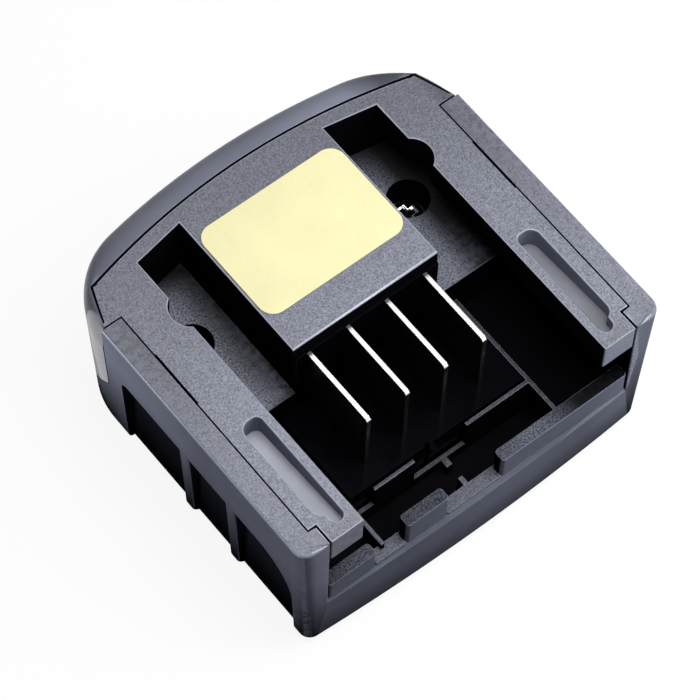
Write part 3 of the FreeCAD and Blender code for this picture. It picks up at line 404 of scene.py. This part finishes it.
def finishFaces(piece, finishes, choose):       # choose names the finish of a face
    piece.data.materials.clear()
    order = list(finishes)
    for name in order:
        piece.data.materials.append(finishes[name])
    for face in piece.data.polygons:
        face.material_index = order.index(choose(face.center, face.normal))


# the two housings

rim = {"width": 0.6 * mm, "fine": 0.40, "deckZ": deckTop - 0.05 * mm,
       # sharp on both sides of the seam
       "seamX": (34.4 * mm, 35.7 * mm), "rearSeamY": fromFront(54.0),
       # front edge of the platform, outer rim, and ends of the arms
       "platformX": 18 * mm, "platformY": (fromFront(31), fromFront(33.5)),
       "outerX": 37.5 * mm, "armX": 33.5 * mm, "armY": fromFront(0.2),
       # screw bores, with sharp mouths
       "boreX": 24.1 * mm, "boreY": fromFront(49.7), "boreReach": 4.3 * mm,
       # steps, teeth and ledges in the bay, and upright edges of the teeth and arms
       "bayX": 34 * mm, "bayZ": 14 * mm, "uprightY": fromFront(4), "uprightZ": 12 * mm}


def housingShare(middle, first, second):        # wide on the outer rim, fine round the bay, none at the seam
    x = abs(middle.x)
    onTop = max(first.z, second.z) > facing["level"]
    if onTop and middle.z > rim["deckZ"]:
        if within(x, rim["seamX"]) or x > rim["seamX"][0] and middle.y > rim["rearSeamY"]:
            return 0.0
        acrossY = abs(first.y + second.y) > facing["half"]
        if acrossY and within(middle.y, rim["platformY"]) and x < rim["platformX"]:
            return 1.0
        if x > rim["outerX"] or middle.y < rim["armY"] and x > rim["armX"]:
            return 1.0
        return rim["fine"]
    if math.hypot(x - rim["boreX"], middle.y - rim["boreY"]) < rim["boreReach"]:
        return 0.0
    if onTop and x < rim["bayX"] and middle.z > rim["bayZ"]:
        return rim["fine"]
    bothSheer = max(abs(first.z), abs(second.z)) < facing["sheer"]
    if bothSheer and x < rim["armX"] and middle.y < rim["uprightY"] and middle.z > rim["uprightZ"]:
        return rim["fine"]
    return 0.0


upper = cleanCopy("upper_housing", "upper_housing_shell")
roundEdges(upper, rim["width"], 3, housingShare)
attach(upper, "root")
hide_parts("upper_housing")

lower = cleanCopy("lower_housing", "lower_housing_shell")
roundEdges(lower, rim["width"], 3, housingShare)
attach(lower, "root")
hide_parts("lower_housing")
print("housings done")

# the curve between deck and crown, in mm from the arms' front
crownLine = {"reach": 67.9, "bow": 129.4, "cornerX": 35.5, "sideY": 55.0, "slack": 0.02}


def behindCrownLine(place):
    x = abs(place.x) / mm
    y = (place.y - armFront) / mm
    if x > crownLine["cornerX"]:
        return y > crownLine["sideY"]
    return y > crownLine["reach"] - x * x / (2 * crownLine["bow"]) - crownLine["slack"]


# places of the finishes; a depth is measured down from the deck
armSlot = {"x": (27.9 * mm, 32.1 * mm), "y": (fromFront(2.3), fromFront(26.4)), "z": 30.5 * mm,
           "mouth": 0.1 * mm, "floor": 1 * mm}
crownGroove = {"x": 38.7 * mm, "y": fromFront(54), "depth": (0.02 * mm, 0.4 * mm)}
seam = {"x": (32.8 * mm, 35.3 * mm), "y": fromFront(0.3), "z": 12.5 * mm, "mouth": 0.1 * mm,
        "rearY": (fromFront(54.8), fromFront(55.5)),
        "floorX": (33 * mm, 38 * mm), "floorDepth": (1.5 * mm, 4 * mm)}
platformFront = {"x": 18 * mm, "y": (fromFront(31), fromFront(34)), "depth": 0.5 * mm}
deck = {"edgeX": 36 * mm, "edgeDepth": 0.15 * mm, "depth": 0.3 * mm, "stripX": 34.8 * mm}
bay = {"floorX": 34.5 * mm, "floorDepth": 8 * mm, "wallX": 34.3 * mm, "y": (fromFront(0.8), fromFront(66)),
       "darkZ": 9 * mm, "darkShelfZ": (11.2 * mm, 12.5 * mm), "ledgeY": fromFront(30), "toothZ": 17 * mm}
grips = {"floorX": (35.9 * mm, 36.4 * mm), "sideX": (36.1 * mm, 39.1 * mm),
         "y": (fromFront(3.5), fromFront(51.2)), "z": (1 * mm, 24.2 * mm)}
outside = {"rearX": 30 * mm, "rearY": fromFront(50), "rearDepth": 6.9 * mm,
           "frontX": 34 * mm, "armZ": 24 * mm, "sideX": 35 * mm}


def pocketFinish(place, normal):        # slots, groove and seam, which cut through the other areas
    x, y, z = abs(place.x), place.y, place.z
    depth = deckTop - z
    upright = abs(normal.z) < facing["upright"]
    if within(x, armSlot["x"]) and within(y, armSlot["y"]) and z > armSlot["z"] and depth > armSlot["mouth"]:
        return "slot" if normal.z > facing["level"] and depth > armSlot["floor"] else "smooth"
    # crown groove, seam gaps and seam floor: painted shadow
    if x < crownGroove["x"] and y > crownGroove["y"] and within(depth, crownGroove["depth"]) \
            and (upright or normal.z > facing["exact"]):
        return "inner"
    if upright and not behindCrownLine(place) and within(x, seam["x"]) and y > seam["y"] \
            and z > seam["z"] and depth > seam["mouth"]:
        return "inner"
    if within(y, seam["rearY"]) and abs(normal.y) > facing["square"]:
        return "inner"
    if normal.z > facing["square"] and within(x, seam["floorX"]) and within(depth, seam["floorDepth"]):
        return "inner"
    return None


def bayFinish(place):       # upward faces below the deck, between the arms
    # deep floors and the shelf under the arms: painted shadow
    if place.z < bay["darkZ"] or within(place.z, bay["darkShelfZ"]):
        return "inner"
    if place.y > bay["ledgeY"]:
        return "leftLedge" if place.x < 0 else "rightLedge"
    return "tooth" if place.z > bay["toothZ"] else "step"


def housingFinish(place, normal):
    x, y, z = abs(place.x), place.y, place.z
    depth = deckTop - z
    pocket = pocketFinish(place, normal)
    if pocket:
        return pocket
    if within(normal.z, facing["rimSlope"]) and x < platformFront["x"] and within(y, platformFront["y"]) \
            and depth < platformFront["depth"]:
        return "rim"
    if behindCrownLine(place):
        return "crown"
    if within(normal.z, facing["edgeSlope"]) and x < deck["edgeX"] and depth < deck["edgeDepth"]:
        return "edge"
    if normal.z > facing["mostly"] and depth < deck["depth"]:
        return "strip" if x > deck["stripX"] else "deck"
    if normal.z > facing["square"] and x < bay["floorX"] and y < bay["y"][1] and depth > bay["floorDepth"]:
        return bayFinish(place)
    # walls inside the bay: painted shadow
    if abs(normal.z) < facing["half"] and x < bay["wallX"] and within(y, bay["y"]):
        return "inner"
    if within(y, grips["y"]) and within(z, grips["z"]):
        if within(x, grips["floorX"]) and abs(normal.x) > facing["square"]:
            return "grip"
        if within(x, grips["sideX"]) and abs(normal.x) < facing["half"]:
            return "grip"
    if abs(normal.z) < facing["upright"] and x > outside["rearX"] and y > outside["rearY"] \
            and depth > outside["rearDepth"]:
        return "crown"
    if normal.y < -facing["front"] and x < outside["frontX"]:
        return "arm" if z > outside["armZ"] else "front"
    return "side" if abs(normal.x) > facing["side"] and x > outside["sideX"] else "smooth"


def lowerFinish(place, normal):     # the lower housing has no crown
    return housingFinish(place, normal).replace("crown", "side")


finishFaces(upper, housingFinishes, housingFinish)
finishFaces(lower, housingFinishes, lowerFinish)
print("housing faces done")


# terminal block and blades

terminalLook = {"colour": (0.0016, 0.0016, 0.0026), "grainSize": 0.9 * mm, "grainContrast": 0.10,
                "grainDepth": 0.002 * mm, "cloudSize": 7 * mm, "cloudContrast": 0.2,
                "roughness": (0.12, 0.20), "gloss": 0.012, "wear": 0.3, "edge": 0.12 * mm}
block = cleanCopy("terminal_block", "terminal_block_shell")
roundEdges(block, terminalLook["edge"], 2, everyEdge)
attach(block, "root")
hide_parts("terminal_block")
block.data.materials.clear()
block.data.materials.append(mouldedPlastic("terminal_gloss_black", terminalLook))

bladeLook = {"colour": (0.86, 0.86, 0.85), "lines": (1, 0.06, 1), "lineSize": 0.12 * mm,
             "lineDepth": 0.0015 * mm, "smudgeSize": 4 * mm, "roughness": (0.14, 0.26), "edge": 0.10 * mm}
# sides of the blades: a dark copy of the plated metal, painted shade; their front ends a dimmer copy, also
# painted shade
bladeShadedSideLook = {**bladeLook, "colour": (0.05, 0.05, 0.055), "roughness": (0.25, 0.40)}
bladeShadedEndLook = {**bladeLook, "colour": (0.36, 0.36, 0.36)}
bladeFinishes = {"strip": platedStrip("blade_plated_strip", bladeLook),
                 "side": platedStrip("blade_side_painted_shade", bladeShadedSideLook),
                 "end": platedStrip("blade_end_painted_shade", bladeShadedEndLook)}


def bladeFinish(place, normal):
    if abs(normal.x) > facing["square"]:
        return "side"
    return "end" if normal.y < -facing["mostly"] else "strip"


for bladeName in ("blade_battery_negative", "blade_battery_positive",
                  "blade_pack_sense", "blade_temperature_sense"):
    blade = cleanCopy(bladeName, bladeName + "_strip")
    roundEdges(blade, bladeLook["edge"], 2, everyEdge)
    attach(blade, "root")
    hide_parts(bladeName)
    finishFaces(blade, bladeFinishes, bladeFinish)
print("terminals done")


# label

labelLook = {"colour": (0.70, 0.665, 0.385), "grainSize": 0.5 * mm, "grainContrast": 0.02,
             "grainDepth": 0.004 * mm, "cloudSize": 9 * mm, "cloudContrast": 0.035,
             "roughness": (0.45, 0.55), "gloss": 0.12, "edge": 0.05 * mm}
labelEdgeLook = {"colour": (0.16, 0.15, 0.10), "grainSize": 0.2 * mm, "grainContrast": 0.15,
                 "grainDepth": 0.003 * mm, "cloudSize": 4 * mm, "cloudContrast": 0.10,
                 "roughness": (0.6, 0.7), "gloss": 0.1}
label = cleanCopy("platform_label", "platform_label_film")
roundEdges(label, labelLook["edge"], 2, topEdges)
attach(label, "root")
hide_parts("platform_label")
labelFinishes = {"film": mouldedPlastic("label_film_yellow", labelLook),
                 "cut": mouldedPlastic("label_film_cut_edge", labelEdgeLook)}
finishFaces(label, labelFinishes, lambda place, normal: "film" if normal.z > facing["square"] else "cut")
print("label done")


# pieces inside and below: each finish with its look and the nodes that have it

plasticLooks = {
    "board_solder_mask": (
        {"colour": (0.015, 0.11, 0.04), "grainSize": 0.8 * mm, "grainContrast": 0.25, "grainDepth": 0.01 * mm,
         "cloudSize": 5 * mm, "cloudContrast": 0.1, "roughness": (0.25, 0.4), "gloss": 0.5},
        ["circuit_board"]),
    "foot_rubber": (
        {"colour": (0.02, 0.02, 0.02), "grainSize": 0.3 * mm, "grainContrast": 0.2, "grainDepth": 0.02 * mm,
         "cloudSize": 4 * mm, "cloudContrast": 0.1, "roughness": (0.7, 0.85), "gloss": 0.3},
        ["rubber_feet"]),
    "inlet_black": (
        {"colour": (0.012, 0.012, 0.013), "grainSize": 0.3 * mm, "grainContrast": 0.1,
         "grainDepth": 0.006 * mm, "cloudSize": 4 * mm, "cloudContrast": 0.1,
         "roughness": (0.35, 0.5), "gloss": 0.4},
        ["inlet_body"]),
    "chip_resin": (
        {"colour": (0.018, 0.018, 0.02), "grainSize": 0.15 * mm, "grainContrast": 0.2,
         "grainDepth": 0.008 * mm, "cloudSize": 2 * mm, "cloudContrast": 0.1,
         "roughness": (0.5, 0.65), "gloss": 0.4},
        ["controller_chip", "blocking_diode", "charge_transistor"]),
    "ferrite_grey": (
        {"colour": (0.045, 0.045, 0.05), "grainSize": 0.2 * mm, "grainContrast": 0.3,
         "grainDepth": 0.012 * mm, "cloudSize": 3 * mm, "cloudContrast": 0.1,
         "roughness": (0.55, 0.75), "gloss": 0.4},
        ["inductor_core"]),
    "fuse_brown": (
        {"colour": (0.28, 0.13, 0.04), "grainSize": 0.2 * mm, "grainContrast": 0.1, "grainDepth": 0.005 * mm,
         "cloudSize": 2 * mm, "cloudContrast": 0.1, "roughness": (0.25, 0.4), "gloss": 0.5},
        ["input_fuse"]),
    "resistor_glaze": (
        {"colour": (0.02, 0.02, 0.022), "grainSize": 0.1 * mm, "grainContrast": 0.3, "grainDepth": 0.004 * mm,
         "cloudSize": 1 * mm, "cloudContrast": 0.1, "roughness": (0.2, 0.35), "gloss": 0.5},
        ["chip_resistors"]),
    "ceramic_tan": (
        {"colour": (0.42, 0.29, 0.17), "grainSize": 0.1 * mm, "grainContrast": 0.12, "grainDepth": 0.003 * mm,
         "cloudSize": 1 * mm, "cloudContrast": 0.1, "roughness": (0.35, 0.5), "gloss": 0.5},
        ["chip_capacitors"]),
    "capacitor_sleeve": (
        {"colour": (0.03, 0.035, 0.10), "grainSize": 0.4 * mm, "grainContrast": 0.08,
         "grainDepth": 0.004 * mm, "cloudSize": 3 * mm, "cloudContrast": 0.1,
         "roughness": (0.2, 0.35), "gloss": 0.5},
        ["input_capacitor", "output_capacitor"]),
    "lamp_resin": (
        {"colour": (0.08, 0.42, 0.12), "grainSize": 0.2 * mm, "grainContrast": 0.05, "grainDepth": 0.001 * mm,
         "cloudSize": 1 * mm, "cloudContrast": 0.1, "roughness": (0.08, 0.15), "gloss": 0.5},
        ["indicator_lamp"]),
}
for name, (look, users) in plasticLooks.items():
    dress(mouldedPlastic(name, look), *users)

metalLooks = {
    "screw_zinc": (
        {"colour": (0.45, 0.45, 0.46), "lines": (1, 1, 0.2), "lineSize": 0.15 * mm, "lineDepth": 0.003 * mm,
         "smudgeSize": 1.5 * mm, "roughness": (0.3, 0.5)},
        ["base_screws", "board_screws"]),
    "solder_bright": (
        {"colour": (0.72, 0.72, 0.71), "lines": (1, 1, 1), "lineSize": 0.3 * mm, "lineDepth": 0.004 * mm,
         "smudgeSize": 1 * mm, "roughness": (0.2, 0.4)},
        ["blade_solder_joints"]),
    "contact_nickel": (
        {"colour": (0.75, 0.73, 0.70), "lines": (1, 0.1, 1), "lineSize": 0.1 * mm, "lineDepth": 0.002 * mm,
         "smudgeSize": 2 * mm, "roughness": (0.15, 0.3)},
        ["inlet_centre_pin", "inlet_sleeve_contact"]),
    "winding_copper": (
        {"colour": (0.62, 0.25, 0.10), "lines": (1, 1, 0.3), "lineSize": 0.2 * mm, "lineDepth": 0.003 * mm,
         "smudgeSize": 2 * mm, "roughness": (0.2, 0.35)},
        ["inductor_winding"]),
    "sink_aluminium": (
        {"colour": (0.70, 0.70, 0.72), "lines": (1, 1, 0.05), "lineSize": 0.15 * mm, "lineDepth": 0.003 * mm,
         "smudgeSize": 3 * mm, "roughness": (0.28, 0.45)},
        ["heat_sink"]),
}
for name, (look, users) in metalLooks.items():
    dress(platedStrip(name, look), *users)


# screws of the wells: black heads whose rounded edges are a much brighter metal, a painted glint

headLook = {"colour": (0.035, 0.035, 0.038), "lines": (1, 1, 0.2), "lineSize": 0.15 * mm,
            "lineDepth": 0.003 * mm, "smudgeSize": 1.2 * mm, "roughness": (0.12, 0.28),
            "edge": 0.35 * mm, "rimSlope": (0.25, 0.96)}
headGlintLook = {**headLook, "colour": (0.85, 0.85, 0.86), "roughness": (0.22, 0.36)}
headFinishes = {"top": platedStrip("screw_black", headLook), "rim": platedStrip("screw_rim_painted_glint", headGlintLook)}
heads = cleanCopy("well_screws", "well_screws_heads")
roundEdges(heads, headLook["edge"], 3, topEdges)
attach(heads, "root")
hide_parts("well_screws")
finishFaces(heads, headFinishes,
            lambda place, normal: "rim" if within(normal.z, headLook["rimSlope"]) else "top")


# clear window of the lamp

windowLook = {"colour": (0.85, 0.88, 0.88), "frosted": (0.75, 0.80, 0.80), "frostSize": 0.4 * mm,
              "roughness": (0.05, 0.15), "clear": 0.8}
windowGlass, tree, shader = newMaterial("window_clear")
frost = noise(tree, objectPoint(tree), windowLook["frostSize"])
tree.links.new(spread(tree, frost, *windowLook["roughness"]), shader.inputs["Roughness"])
frosted = blendColours(tree, frost, windowLook["colour"], windowLook["frosted"])
tree.links.new(frosted, shader.inputs["Base Color"])
shader.inputs["Transmission Weight"].default_value = windowLook["clear"]
dress(windowGlass, "indicator_window")
print("small pieces done")


# studio: floor, world, lamps, camera

def seenBy(tree, *rays):        # 1 for rays of these kinds, 0 for the others
    path = tree.nodes.new("ShaderNodeLightPath")
    seen = path.outputs[rays[0]]
    for ray in rays[1:]:
        seen = calculate(tree, "MAXIMUM", seen, path.outputs[ray])
    return seen


def mixShaders(tree, factor, first, second):
    mix = tree.nodes.new("ShaderNodeMixShader")
    for socket, source in zip(mix.inputs, (factor, first, second)):
        tree.links.new(source, socket)
    return mix.outputs[0]


floorLook = {"size": 8.0, "drop": 0.02 * mm, "colour": (0.92, 0.92, 0.92), "bounce": (0.15, 0.15, 0.15),
             "roughness": 0.9, "gloss": 0.1, "shadow": 0.10}
bpy.ops.object.select_all(action="DESELECT")
bpy.ops.mesh.primitive_plane_add(size=floorLook["size"], location=(0, 0, -floorLook["drop"]))
floor = bpy.context.object
floor.name = "studio_floor"
floorMaterial, tree, shader = newMaterial("studio_floor_white")
shader.inputs["Roughness"].default_value = floorLook["roughness"]
shader.inputs["Specular IOR Level"].default_value = floorLook["gloss"]
seen = seenBy(tree, "Is Camera Ray", "Is Glossy Ray")
floorColour = blendColours(tree, seen, floorLook["bounce"], floorLook["colour"])
tree.links.new(floorColour, shader.inputs["Base Color"])
white = tree.nodes.new("ShaderNodeEmission")
white.inputs["Strength"].default_value = 1.0
whitened = mixShaders(tree, calculate(tree, "MULTIPLY", seen, 1 - floorLook["shadow"]), shader.outputs[0],
                      white.outputs[0])     # the part that isn't whitened shows the shadow
output = [node for node in tree.nodes if node.type == "OUTPUT_MATERIAL"][0]
tree.links.new(whitened, output.inputs[0])
floor.data.materials.append(floorMaterial)

worldLook = {"fill": 0.04, "fillColour": (0.93, 0.96, 1.0)}
world = bpy.data.worlds.new("studio")
bpy.context.scene.world = world
world.use_nodes = True
tree = world.node_tree
tree.nodes.clear()
output = tree.nodes.new("ShaderNodeOutputWorld")
fill = tree.nodes.new("ShaderNodeBackground")
fill.inputs["Color"].default_value = worldLook["fillColour"] + (1.0,)
fill.inputs["Strength"].default_value = worldLook["fill"]
backdrop = tree.nodes.new("ShaderNodeBackground")
backdrop.inputs["Color"].default_value = (1, 1, 1, 1)
backdrop.inputs["Strength"].default_value = 1.0
seen = seenBy(tree, "Is Camera Ray", "Is Glossy Ray", "Is Transmission Ray")
tree.links.new(mixShaders(tree, seen, fill.outputs[0], backdrop.outputs[0]), output.inputs[0])

lampAim = Vector((0, 0, 20 * mm))
lampLooks = {
    "key_overhead": {"size": 0.30, "power": 1.50, "colour": (1.0, 1.0, 1.0), "place": (0.0, 0.0, 0.52)},
    "near_front": {"size": 0.12, "power": 0.17, "colour": (1.0, 1.0, 1.0), "place": (0.02, -0.07, 0.22)},
    "near_right": {"size": 0.12, "power": 0.20, "colour": (1.0, 1.0, 1.0), "place": (0.11, -0.08, 0.17)},
    "fill_left": {"size": 0.30, "power": 0.45, "colour": (0.92, 0.95, 1.0), "place": (-0.46, 0.15, 0.149)},
    "fill_front": {"size": 0.30, "power": 1.05, "colour": (0.93, 0.96, 1.0), "place": (0.342, -0.342, 0.149)},
}
for name, look in lampLooks.items():
    softbox = bpy.data.lights.new(name, "AREA")
    softbox.size = look["size"]
    softbox.energy = look["power"]
    softbox.color = look["colour"]
    lamp = bpy.data.objects.new(name, softbox)
    bpy.context.scene.collection.objects.link(lamp)
    lamp.location = look["place"]
    lamp.rotation_euler = (lampAim - lamp.location).to_track_quat("-Z", "Y").to_euler()

cameraLook = {"place": (-0.2106589, -0.2398615, 0.5912848), "turn": (28.8332, -1.56716, -38.56964),
              "lens": 192.996, "sensor": 36.0, "nearest": 0.01}
cameraData = bpy.data.cameras.new("camera")
camera = bpy.data.objects.new("camera", cameraData)
bpy.context.scene.collection.objects.link(camera)
camera.location = cameraLook["place"]
camera.rotation_euler = [math.radians(angle) for angle in cameraLook["turn"]]
cameraData.lens = cameraLook["lens"]
cameraData.sensor_width = cameraLook["sensor"]
cameraData.clip_start = cameraLook["nearest"]
bpy.context.scene.camera = camera
bpy.context.scene.view_settings.view_transform = "Standard"
print("studio done")
